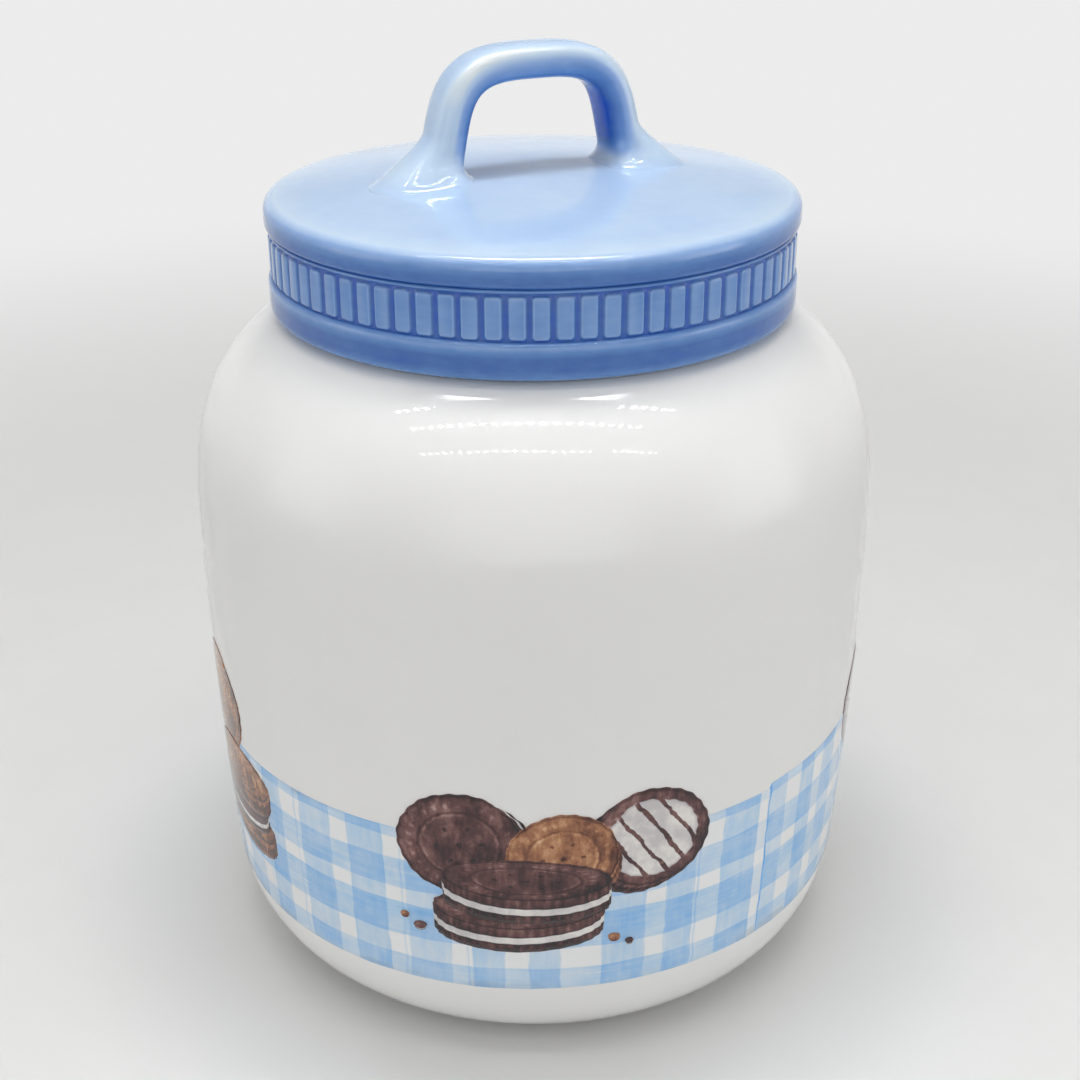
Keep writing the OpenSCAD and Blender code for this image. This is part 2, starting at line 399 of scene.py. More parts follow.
# coloured glaze that breaks pale over edges and pools deep in hollows
def makeBlueGlaze():
    material, n, shader = newMaterial("blueGlaze")
    surface = n.group(glazeSkin, blue["skin"])
    flat = n.mapped(n.coordinate("Object"), scale=(1.0, 1.0, 2.6))
    mottle = n.minus(n.noise(flat, blue["mottleScale"], 4.0, 0.6), 0.5)
    cloud = n.minus(n.noise(flat, blue["cloudScale"], 2.0), 0.5)
    shifts = n.plus(n.times(mottle, blue["mottle"]), n.times(cloud, blue["cloud"]))
    pool = n.attribute("glazeDepth")
    # thick glaze runs, and the thin even coat on top hardly does
    running = n.remap(pool, 0.10, 0.75, 0.35, 1.8)
    depth = n.plus(n.times(shifts, running), pool, clamp=True)
    marked = n.mix(surface["Speck"], n.ramp(depth, blue["depths"]), blue["speck"])
    n.feed(shader, {"IOR": blue["ior"]})
    glazed(n, shader, marked, surface, "bareClay")
    return material


# check of two translucent washes, one across and one down, each with its own brush marks
def makeGingham():
    material, n, shader = newMaterial("ginghamWash")
    surface = n.group(glazeSkin, wash["skin"])
    flat = n.add("UVMap", uv_map="bandPlace").outputs[0]
    place = n.vector("SCALE", flat, scale=100.0)[0]
    turned = n.mapped(place, turn=(0, 0, math.radians(90)))

    # what a wash lets through, and more of the same where it is laid thick
    def washed(mark, brush, along, through):
        strokes = n.group(brushStrokes, {"Place": along, **brush})
        tone = n.remap(strokes["Streak"], 0.3, 0.7, 0.78, 1.08)
        broken = n.remap(strokes["Dry"], 0.0, 1.0, 1.0, 0.4)
        patch = n.remap(strokes["Pool"], 0.32, 0.68, 0.76, 1.18)
        strength = n.times(n.times(n.times(tone, broken), patch), n.attribute(mark))
        return n.mix(strength, (1, 1, 1), through, clamp=False)

    row = washed("acrossWash", wash["rowBrush"], place, wash["row"])
    column = washed("downWash", wash["columnBrush"], turned, wash["column"])
    laid = n.mix(1.0, wash["ground"], row, "MULTIPLY")
    glazed(n, shader, n.mix(1.0, laid, column, "MULTIPLY"), surface)
    return material


# painted round biscuits: the face's own unit circle carries ring, dots, holes and icing, the
# side carries ridges and a band of filling; blots and short strokes of the brush run through all
def makeBiscuitPaint():
    material, n, shader = newMaterial("biscuitPaint")
    surface = n.group(glazeSkin, paint["skin"])
    flat = n.add("UVMap", uv_map="facePlace").outputs[0]
    place = n.vector("SCALE", n.vector("SUBTRACT", flat, (0.5, 0.5, 0.0))[0], scale=4.0)[0]
    kind, side = n.attribute("biscuitKind"), n.attribute("sideDrop")
    radius = n.vector("LENGTH", place)["Value"]
    x, y, _ = n.split(place)
    around = n.math("ARCTAN2", y, x)
    # blots and strokes lie on the jar itself, so that each biscuit has its own
    onJar = n.coordinate("Object")
    blots = n.noise(onJar, 150.0, 5.0, 0.62)
    leaned = n.mapped(onJar, (0.5, 0.4, 0.0), (1.0, 1.0, 0.32))
    strokes = n.noise(leaned, 620.0, 3.0, 0.55)
    grain = n.noise(onJar, 2300.0, 2.0)
    tone = n.remap(blots, 0.34, 0.66, -0.20, 0.22)
    tone = n.plus(tone, n.remap(strokes, 0.34, 0.66, -0.10, 0.12))
    tone = n.plus(tone, n.remap(grain, 0.3, 0.7, -0.035, 0.035))
    # light from the upper left, and colour gathered along the rim
    lit = n.plus(n.times(n.minus(y, x), 0.10), 0.44)
    rimPool = n.remap(radius, 0.93, 1.0, 0.0, 0.34)
    shade = n.minus(n.plus(lit, tone), rimPool)
    # pressed pattern: a groove with a light lip, a ring of dots, and holes in the middle
    spokes = n.math("COSINE", n.times(around, paint["dots"]))
    dots = n.times(n.remap(spokes, 0.1, 0.8), n.near(radius, *paint["dotRing"]))
    spokes = n.math("COSINE", n.times(around, paint["holes"]))
    holeRing = n.times(n.remap(spokes, 0.80, 0.95), n.near(radius, *paint["holeRing"]))
    holes = n.math("MAXIMUM", holeRing, n.remap(radius, 0.06, 0.04))
    pattern = n.plus(n.times(n.near(radius, *paint["lip"]), 0.16), n.times(dots, 0.20))
    pattern = n.minus(pattern, n.times(n.near(radius, *paint["groove"]), 0.20))
    pattern = n.minus(pattern, n.times(holes, 0.42))
    worn = n.remap(blots, 0.40, 0.52, 0.35, 1.0)
    faceShade = n.plus(shade, n.times(pattern, worn))
    # the side: ridges, dark towards its foot, and a filling between two biscuits
    ridges = n.times(n.math("SINE", n.times(around, paint["ridges"])), 0.10)
    sideShade = n.plus(n.plus(ridges, tone), n.remap(side, 0.0, 1.0, 0.42, 0.20))
    sideShade = n.minus(sideShade, n.times(n.near(side, *paint["fillingShade"]), 0.25))
    isSide = n.remap(side, 0.01, 0.04)
    shade = n.add("Mix", {0: isSide, 2: faceShade, 3: sideShade}).outputs[0]
    brown = n.ramp(shade, paint["chocolate"])
    isGolden = n.near(kind, 0.43, 0.1, 0.01)
    baked = n.mix(isGolden, brown, n.ramp(shade, paint["golden"]))
    cream = n.mix(n.remap(blots, 0.36, 0.64, 0.75, 0.0), paint["cream"], paint["creamShade"])
    # icing on the third kind: a pale pool with thin drizzle
    isIced = n.math("GREATER_THAN", kind, 0.6)
    pool = n.plus(radius, n.times(n.noise(place, 2.2, 2.0), 0.16))
    rim = n.times(n.near(pool, 0.86, 0.0, 0.05), 0.6)
    waves = {"Vector": place, "Scale": 1.25, "Distortion": 1.6, "Detail": 1.5, "Detail Scale": 1.4}
    waves = n.add("TexWave", waves, wave_type="BANDS", bands_direction="DIAGONAL").outputs[1]
    thin = n.remap(strokes, 0.35, 0.65, 0.90, 0.80)
    drizzle = n.remap(n.minus(waves, thin), 0.0, 0.07)
    iced = n.mix(drizzle, n.mix(rim, cream, paint["creamShade"]), brown)
    iceShare = n.times(n.times(n.remap(pool, 0.89, 0.86), isIced), n.minus(1.0, isSide))
    isFilled = n.math("LESS_THAN", kind, 0.3)
    fillShare = n.times(n.near(side, *paint["filling"]), isFilled)
    colour = n.mix(iceShare, n.mix(fillShare, baked, cream), iced)
    glazed(n, shader, colour, surface)
    return material


# clear-white silicone: soft sheen, a faint dusty bloom
def makeSilicone():
    material, n, shader = newMaterial("sealSilicone")
    place = n.coordinate("Object")
    bloom = n.noise(place, 160.0, 4.0)
    grain = n.noise(place, 2200.0, 2.0)
    values = {
        "Base Color": n.ramp(bloom, [(0.3, (0.66, 0.68, 0.69)), (0.75, (0.78, 0.79, 0.79))]),
        "Roughness": n.remap(bloom, 0.3, 0.7, 0.32, 0.48),
        "Normal": n.add("Bump", {"Distance": 0.00004, "Height": grain}).outputs[0],
        "Subsurface Weight": 0.25,
        "Subsurface Scale": 0.004,
    }
    n.feed(shader, values)
    n.arrange()
    return material


whiteGlaze = makeWhiteGlaze()
blueGlaze = makeBlueGlaze()
ginghamWash = makeGingham()
biscuitPaint = makeBiscuitPaint()
sealSilicone = makeSilicone()
print("materials made")


# ---- mesh helpers ----


# points in mm; faces is a list of whole arrays of point numbers, one array per face size;
# marks holds one value per point, place one flat position per point
def makePiece(name, points, faces, material, marks=None, place=None, placeName=None):
    mesh = bpy.data.meshes.new(name)
    corners = np.concatenate([f.ravel() for f in faces]).astype(np.int32)
    sizes = np.concatenate([np.full(len(f), f.shape[1]) for f in faces])
    starts = np.concatenate([[0], np.cumsum(sizes)[:-1]]).astype(np.int32)
    mesh.vertices.add(len(points))
    mesh.vertices.foreach_set("co", (points * mm).astype(np.float32).ravel())
    mesh.loops.add(len(corners))
    mesh.loops.foreach_set("vertex_index", corners)
    mesh.polygons.add(len(sizes))
    mesh.polygons.foreach_set("loop_start", starts)
    mesh.polygons.foreach_set("use_smooth", np.ones(len(sizes), bool))
    mesh.update(calc_edges=True)
    for key, values in (marks or {}).items():
        attribute = mesh.attributes.new(key, "FLOAT", "POINT")
        attribute.data.foreach_set("value", values.astype(np.float32))
    if place is not None:
        layer = mesh.uv_layers.new(name=placeName)
        layer.uv.foreach_set("vector", place[corners].astype(np.float32).ravel())
    mesh.validate()
    mesh.materials.append(material)
    piece = bpy.data.objects.new(name, mesh)
    bpy.context.scene.collection.objects.link(piece)
    return piece


# quads between neighbouring rows and columns of a grid of numbered points
def gridFaces(rows, columns, closeRows=False, closeColumns=True):
    i = np.arange(rows if closeRows else rows - 1)[:, None]
    j = np.arange(columns if closeColumns else columns - 1)[None, :]
    here, below, after = i * columns, (i + 1) % rows * columns, (j + 1) % columns
    quads = np.broadcast_arrays(here + j, here + after, below + after, below + j)
    return np.stack(quads, -1).reshape(-1, 4)


# triangles from a closed row of points to one middle point
def fanFaces(row, middle, inwards):
    after = np.roll(row, -1)
    ends = (after, row) if inwards else (row, after)
    return np.column_stack([np.full(len(row), middle), *ends])


# points and faces of a grid of closed rings with one middle point at either end; turned
# is for rings whose quads would face inwards
def closedTube(grid, ends, turned=False):
    rows, columns = grid.shape[:2]
    points = np.vstack([grid.reshape(-1, 3), ends])
    quads = gridFaces(rows, columns)
    first = np.arange(columns)
    last = (rows - 1) * columns + first
    near = fanFaces(first, len(points) - 2, not turned)
    far = fanFaces(last, len(points) - 1, turned)
    return points, [quads[:, ::-1] if turned else quads, np.vstack([near, far])]


# points at a radius and height round the jar's axis
def roundAxis(radius, angle, z):
    parts = np.broadcast_arrays(radius * np.cos(angle), radius * np.sin(angle), z)
    return np.stack(parts, -1)


def arcLine(x, y, radius, start, end, steps):
    angle = np.radians(np.linspace(start, end, steps + 1))
    return np.column_stack([x + radius * np.cos(angle), y + radius * np.sin(angle)])


def straight(a, b, steps):
    return np.linspace(a, b, steps + 1)


# a run of outline points with the glaze's depth and the bare-clay mark at both ends
def run(line, depth0, depth1=None, bare=0.0):
    line = np.atleast_2d(np.asarray(line, float))
    ends = depth0 if depth1 is None else depth1
    depth = np.linspace(depth0, ends, len(line))
    return np.column_stack([line, depth, np.full(len(line), bare)])


# ---- pot ----

pot = {
    "radius": 90.0,
    "bellyZ": 117.5,
    "ledgeZ": 178.5,
    "footTaper": 5.2,
    "wall": 5.0,
    "floor": 6.0,
    "baseRoundW": 20.6,
    "baseRoundH": 26.0,
    "footRing": 7.0,
    "footRecess": 2.0,
    "neckRadius": 62.0,
    "neckH": 22.5,
    "ledgeW": 2.0,
    "rimRound": 1.4,
    "edgeRound": 0.7,
    "shoulderSquare": 3.5,
    "shoulderSoft": 1.17,
    "unevenness": 0.22,  # how far the hand-finished wall sinks in here and there
    "columns": 360,
}
ledgeRadius = pot["neckRadius"] + pot["ledgeW"]
boreRadius = pot["neckRadius"] - pot["wall"]
rimZ = pot["ledgeZ"] + pot["neckH"]


# outside radius at height z: a flat parabola from the foot to the belly, less a quarter
# ellipse at the base; above the belly a superellipse in to the ledge
def wallRadius(z):
    z = np.asarray(z, float)
    belly, top = pot["bellyZ"], pot["ledgeZ"]
    taper = pot["footTaper"] * ((belly - z) / belly) ** 2
    below = np.clip(1 - z / pot["baseRoundH"], 0, 1)
    base = pot["baseRoundW"] * (1 - np.sqrt(1 - below**2))
    u = np.clip((z - belly) / (top - belly), 0, 1)
    inwards = (1 - u ** pot["shoulderSquare"]) ** (1 / pot["shoulderSoft"])
    shoulder = ledgeRadius + (pot["radius"] - ledgeRadius) * inwards
    return np.where(z <= belly, pot["radius"] - taper - base, shoulder)


# the wall is slightly out of true: a few slow sines round and up the jar, always inwards,
# and none at the foot and the ledge
def sink(z, angle):
    waves = np.sin(2 * angle + 0.7) + 0.6 * np.sin(3 * angle + z * 0.045)
    waves = waves + 0.4 * np.sin(5 * angle - z * 0.06 + 2.0)
    window = np.clip(z / 30, 0, 1) * np.clip((pot["ledgeZ"] - z) / 25, 0, 1)
    return pot["unevenness"] * window * (waves - 2.0) / 4.0


# the outside line carried round the axis, then the neck, the bore, and the wall's inner face
# set in square to the outer one
def makePotBody():
    t = np.linspace(0, 90, 27)
    low = pot["baseRoundH"] * (1 - np.cos(np.radians(t)))
    belly = np.linspace(pot["baseRoundH"], pot["bellyZ"], 18)[1:]
    rise = 1 - (1 - np.linspace(0, 1, 52)[1:]) ** 1.35
    high = pot["bellyZ"] + (pot["ledgeZ"] - pot["bellyZ"]) * rise
    outsideZ = np.concatenate([low, belly, high])
    outside = np.column_stack([wallRadius(outsideZ), outsideZ])
    along = np.gradient(outside, axis=0)
    along /= np.linalg.norm(along, axis=1)[:, None]
    inner = outside + pot["wall"] * np.column_stack([-along[:, 1], along[:, 0]])
    floorZ = pot["footRecess"] + pot["floor"]
    inner = inner[(inner[:, 1] > floorZ + 1.0) & (inner[:, 0] > boreRadius + 1.0)][::-1]
    footR = outside[0, 0]
    footIn = footR - pot["footRing"]
    recess, neck = pot["footRecess"], pot["neckRadius"]
    edge, rim, ledge = pot["edgeRound"], pot["rimRound"], pot["ledgeZ"]
    lead = inner[-1]
    footCurve = arcLine(lead[0] - 7.0, floorZ + 7.0, 7.0, -20, -90, 8)
    rows = np.vstack([
        run(straight((14, recess), (footIn - recess - 0.6, recess), 3), 0.3, 0.6),
        run(arcLine(footIn - recess - 0.6, recess - 0.6, 0.6, 90, 45, 2)[1:], 0.8, 0.8),
        run([(footIn - 0.5, 0.25)], 0.1, bare=0.6),
        run(arcLine(footIn, 0.35, 0.35, 250, 270, 2), 0.1, bare=1.0),
        run(straight((footIn + 1.5, 0), (footR - 0.6, 0), 3), 0.1, bare=1.0),
        run(outside[:6], 0.1, 0.1),
        run(outside[6:], 0.1, 0.15),
        run([(ledgeRadius - 0.5, ledge)], 0.3),
        run(arcLine(neck + edge, ledge + edge, edge, 270, 180, 4), 0.9, 0.8),
        run(straight((neck, ledge + 4), (neck, rimZ - rim - 2), 3), 0.2),
        run(arcLine(neck - rim, rimZ - rim, rim, 0, 90, 7), 0.0),
        run(arcLine(boreRadius + rim, rimZ - rim, rim, 90, 180, 7), 0.0),
        run(straight((boreRadius, rimZ - rim - 3), (boreRadius, ledge + 1), 4), 0.2),
        run(inner[inner[:, 1] > floorZ + 8.5], 0.2, 0.3),
        run(footCurve, 0.5, 0.7),
        run(straight((lead[0] - 12, floorZ), (10, floorZ), 5), 0.5, 0.2),
    ])
    # the foot's bare clay ends a little up the rounding
    rise = np.clip(1 - (rows[:, 1] - 0.15) / 0.9, 0, 1)
    isFoot = (rows[:, 0] > footR - 0.7) & (rows[:, 1] < 1.2)
    rows[:, 3] = np.where(isFoot, rise, rows[:, 3])
    angle = np.linspace(0, 2 * np.pi, pot["columns"], endpoint=False)
    radius, z = rows[:, :1], rows[:, 1:2]
    outer = np.isclose(radius, wallRadius(z), atol=1e-6) & (z > 0)
    grid = roundAxis(radius + sink(z, angle[None, :]) * outer, angle, z)
    points, faces = closedTube(grid, [(0, 0, recess), (0, 0, floorZ)])
    marks = {
        "glazeDepth": np.append(np.repeat(rows[:, 2], len(angle)), [0.2, 0.2]),
        "bareClay": np.append(np.repeat(rows[:, 3], len(angle)), [0, 0]),
    }
    piece = makePiece("potBody", points, faces, whiteGlaze, marks)
    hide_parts("jar_body")
    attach(piece, "jar")


makePotBody()
print("pot made")


# ---- lid ----

lid = {
    "gap": 0.6,
    "skirtGap": 1.2,
    "skirtWall": 3.0,
    "beadH": 9.2,
    "beadProud": 1.3,
    "plateDrop": 0.5,
    "plateH": 7.3,
    "plateProud": 1.5,
    "plateRound": 3.1,
    "crown": 5.2,
    "domeT": 6.0,
    "collarH": 1.1,
    "collarProud": 0.7,
    "spigotGap": 3.5,
    "spigotH": 14.0,
    "spigotWall": 4.0,
    "spigotRound": 1.2,
    "grooveD": 1.5,
    "grooveH": 6.0,
    "edgeRound": 0.7,
    "domeDepth": 0.185,  # depth of the glaze on top
}
pads = {
    "count": 78,
    "turn": -0.75,  # degrees from the handle's line to the first pad
    "width": 3.9,
    "proud": 0.8,
    "round": 0.9,
    "margin": 0.5,
    "soft": 0.34,  # half the width of a pad's sloping edge
    "uneven": 0.22,  # how much pads differ from one another
    "facePale": 0.38,
    "edgePale": 0.22,
    "ridgePale": 0.26,  # of the collar's ridge
    "seed": 78,
    # columns of the grid within one pad's pitch
    "shares": [-0.44, -0.38, -0.32, -0.25, 0.25, 0.32, 0.38, 0.44, 0.5],
}
skirtZ = pot["ledgeZ"] + lid["gap"]
beadZ = skirtZ + lid["beadH"]
plateZ = rimZ - lid["plateDrop"]
edgeZ = plateZ + lid["plateH"]
spigotZ = rimZ - lid["spigotH"]
grooveZ = spigotZ + (lid["spigotH"] - lid["grooveH"]) / 2
skirtRadius = pot["neckRadius"] + lid["skirtGap"]
bandRadius = skirtRadius + lid["skirtWall"]
beadRadius = bandRadius + lid["beadProud"]
plateRadius = bandRadius + lid["plateProud"]
domeRadius = plateRadius - lid["plateRound"]
spigotRadius = boreRadius - lid["spigotGap"]
spigotIn = spigotRadius - lid["spigotWall"]
grooveRadius = spigotRadius - lid["grooveD"]
padLow, padHigh = beadZ + pads["margin"], plateZ - lid["collarH"] - pads["margin"]


# height of the domed top: a parabola that falls from the crown to the plate's edge
def domeZ(radius):
    return edgeZ + lid["crown"] * (1 - (radius / domeRadius) ** 2)


# outline from the dome's underside, down and round the spigot, over the seat, down inside the
# skirt, up its outside and back over the top
def capRows():
    edge = lid["edgeRound"]
    under = np.linspace(6, spigotIn - 1.5, 8)
    domeLine = np.append(domeRadius - np.array([0.3, 1.5, 4.0, 6.5]), np.linspace(56, 5, 13))
    dome = np.column_stack([domeLine, domeZ(domeLine)])
    ends = np.array([-0.3, -0.15, 0.0, 0.15, 0.35, 0.65, 1.1, 1.8, 2.9])
    middle = (padLow + padHigh) / 2
    bandZ = np.concatenate([padLow + ends, [middle], (padHigh - ends)[::-1]])
    collar = np.radians(np.linspace(15, 175, 9))
    collarLine = np.column_stack([
        bandRadius + lid["collarProud"] * np.sin(collar),
        plateZ - lid["collarH"] * (1 + np.cos(collar)) / 2,
    ])
    tip, edgeR = lid["spigotRound"], lid["plateRound"]
    plateArc = arcLine(plateRadius - edgeR, edgeZ - edgeR, edgeR, 0, 86, 14)
    seatCorner = arcLine(spigotRadius + 0.5, rimZ - 0.5, 0.5, 180, 90, 3)
    grooveTop = grooveZ + lid["grooveH"]
    underZ, plateTop = domeZ(spigotIn) - lid["domeT"], edgeZ - edgeR - 0.5
    return np.vstack([
        run(np.column_stack([under, domeZ(under) - lid["domeT"]]), 0.42, 0.46),
        run(arcLine(spigotIn - 1.5, underZ - 1.4, 1.5, 80, 0, 4), 0.8, 0.6),
        run([(spigotIn, spigotZ + 6)], 0.42),
        run(arcLine(spigotIn + tip, spigotZ + tip, tip, 180, 270, 5), 0.3, 0.2, 0.75),
        run(arcLine(spigotRadius - tip, spigotZ + tip, tip, 270, 360, 5), 0.2, 0.3, 0.75),
        run(straight((spigotRadius, grooveZ - 0.25), (spigotRadius - 0.25, grooveZ), 1), 0.2),
        run(straight((grooveRadius + 0.2, grooveZ), (grooveRadius, grooveZ + 0.2), 1), 0.9),
        run(straight((grooveRadius, grooveTop - 0.2), (grooveRadius + 0.2, grooveTop), 1), 0.9),
        run(straight((spigotRadius - 0.25, grooveTop), (spigotRadius, grooveTop + 0.25), 1), 0.2),
        run(seatCorner, 0.8),
        run(straight((spigotRadius + 2.5, rimZ), (skirtRadius - 0.4, rimZ), 3), 0.35, 0.5),
        run(straight((skirtRadius, rimZ - 0.4), (skirtRadius, skirtZ + edge), 3), 0.6, 0.4),
        run([(skirtRadius + edge, skirtZ)], 0.2),
        run(arcLine(beadRadius - 2.4, skirtZ + 2.4, 2.4, 270, 350, 8), 0.26, 0.68),
        run(straight((beadRadius, skirtZ + 3.0), (beadRadius, beadZ - 3.6), 2), 0.80, 0.78),
        run(straight((beadRadius, beadZ - 3.0), (beadRadius, beadZ - 1.6), 3), 0.68, 0.46),
        run(arcLine(beadRadius - 1.2, beadZ - 1.2, 1.2, 0, 80, 5), 0.42, 0.52),
        run([(bandRadius + 0.12, beadZ), (bandRadius, beadZ + 0.12)], 0.92),
        run(np.column_stack([np.full(len(bandZ), bandRadius), bandZ]), 0.88, 0.94),
        run(collarLine, 0.74, 0.74),
        run(arcLine(plateRadius - 1.6, plateZ + 1.6, 1.6, 275, 360, 6), 0.78, 0.76),
        run(straight((plateRadius, plateZ + 2.6), (plateRadius, plateTop), 3), 0.73, 0.58),
        run(plateArc[:8], 0.52, 0.24),
        run(plateArc[8:], 0.22, 0.12),
        run(dome[:4], 0.13, lid["domeDepth"]),
        run(dome[4:], lid["domeDepth"]),
    ])


# the outline carried round the axis; in the ribbed band each point moves out by how far it
# lies inside the rounded rectangle of its pad
def makeLidCap():
    rows = capRows()
    random = np.random.default_rng(pads["seed"])
    count = pads["count"]
    number = np.repeat(np.arange(count), len(pads["shares"]))
    share = np.tile(np.array(pads["shares"]), count)
    pitch = 2 * np.pi / count
    angle = math.radians(pads["turn"]) + pitch * (number + share)
    uneven = pads["uneven"]
    shift = random.uniform(-0.5, 0.5, count)[number] * uneven
    taller = random.uniform(-1, 1, count)[number] * uneven
    prouder = 1 - random.uniform(0, 1, count)[number] * uneven
    softer = pads["soft"] * (1 + random.uniform(0, 0.7, count)[number])
    halfW = pads["width"] / 2 - pads["round"]
    halfH = (padHigh - padLow) / 2 - pads["round"]
    radius, z = rows[:, :1], rows[:, 1:2]
    x = np.abs(share * pitch * bandRadius - shift)[None, :] - halfW
    y = np.abs(z - (padLow + padHigh) / 2 - taller[None, :] * 0.5) - halfH
    outside = np.hypot(np.clip(x, 0, None), np.clip(y, 0, None))
    d = outside + np.minimum(np.maximum(x, y), 0) - pads["round"]
    inBand = (np.abs(radius - bandRadius) < 1e-6) & (z > beadZ) & (z < plateZ - lid["collarH"])
    s = np.clip(0.5 - d / (2 * softer[None, :]), 0, 1)
    raised = s * s * (3 - 2 * s) * inBand
    grid = roundAxis(radius + raised * pads["proud"] * prouder[None, :], angle, z)
    # pale where glaze leaves a pad's edge, deep in the gaps between pads
    edgePale = np.exp(-(((d + 0.30) / 0.30) ** 2)) * inBand
    depth = rows[:, 2:3] - pads["edgePale"] * edgePale - pads["facePale"] * raised
    # the collar's ridge is pale as well
    ridge = np.exp(-(((z - (plateZ - lid["collarH"] / 2)) / 0.28) ** 2))
    ridge = ridge * (radius > bandRadius + 0.45) * (radius < bandRadius + 0.8)
    depth = np.broadcast_to(depth - pads["ridgePale"] * ridge, grid.shape[:2])
    points, faces = closedTube(grid, [(0, 0, domeZ(0) - lid["domeT"]), (0, 0, domeZ(0))])
    marks = {
        "glazeDepth": np.append(depth.ravel(), [0.42, lid["domeDepth"]]),
        "bareClay": np.append(np.repeat(rows[:, 3], len(angle)), [0, 0]),
    }
    piece = makePiece("lidCap", points, faces, blueGlaze, marks)
    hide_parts("lid_cap")
    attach(piece, "lid")


makeLidCap()
print("lid made")


# ---- handle ----

handle = {
    "height": 30.6,
    "legX": 25.1,
    "archX": 19.9,
    "topHalf": 4.4,
    "legHalf": 4.7,
    "strapHalf": 6.6,
    "footOut": 14.0,
    "footOutH": 10.0,
    "footIn": 4.2,
    "footInH": 4.5,
    "footSide": 5.5,
    "footSideH": 7.0,
    "footCurve": 1.5,
    "archUp": 6.0,
    "archAcross": 3.16,
    "sectionSquare": 3.0,
    "footSquare": 2.2,
    "footEdge": 0.02,
    "feather": 0.35,  # height in which a foot's edge runs out on to the dome
    # depth of the glaze round the section, from the inner face at -1 to the outer one at 1; the
    # pale dip at 0.7 is partly glaze breaking thin and partly a painted highlight
    "depths": [
        (-1, 0.66), (-0.6, 0.52), (-0.2, 0.42), (0.1, 0.28),
        (0.4, 0.12), (0.7, 0.05), (0.85, 0.12), (1, 0.18),
    ],
    "legDeeper": 0.34,
    "legPaler": 0.12,
    # painted shade: the strap's right half is coloured deeper and its left half paler
    "rightPaintedShade": 0.15,
    "legLeast": 0.13,
    # painted highlight: the feet are coloured paler than the dome
    "footPaintedHighlight": 0.12,
    "legSteps": 34,
    "topSteps": 44,
    "sides": 56,
}
legZ = domeZ(handle["legX"])
archRise = domeZ(0.0) + handle["height"] - handle["topHalf"] - legZ


# middle line: a superellipse-like arch whose half width shrinks as it rises
def archLine(t):
    up = np.sin(np.radians(t)) ** (2 / handle["archUp"])
    half = handle["archX"] + (handle["legX"] - handle["archX"]) * (1 - up)
    c = np.cos(np.radians(t))
    across = np.abs(c) ** (2 / handle["archAcross"]) * np.sign(c)
    return np.stack([half * across, legZ + archRise * up], -1)


# spread of a foot at height z: a hollow curve, nearly 1 at the seat and 0 from h up
def spread(z, h):
    curve = handle["footCurve"]
    share = np.clip((h - z) / (h + handle["footEdge"]), 0, 1)
    return 1 - (1 - share**curve) ** (1 / curve)


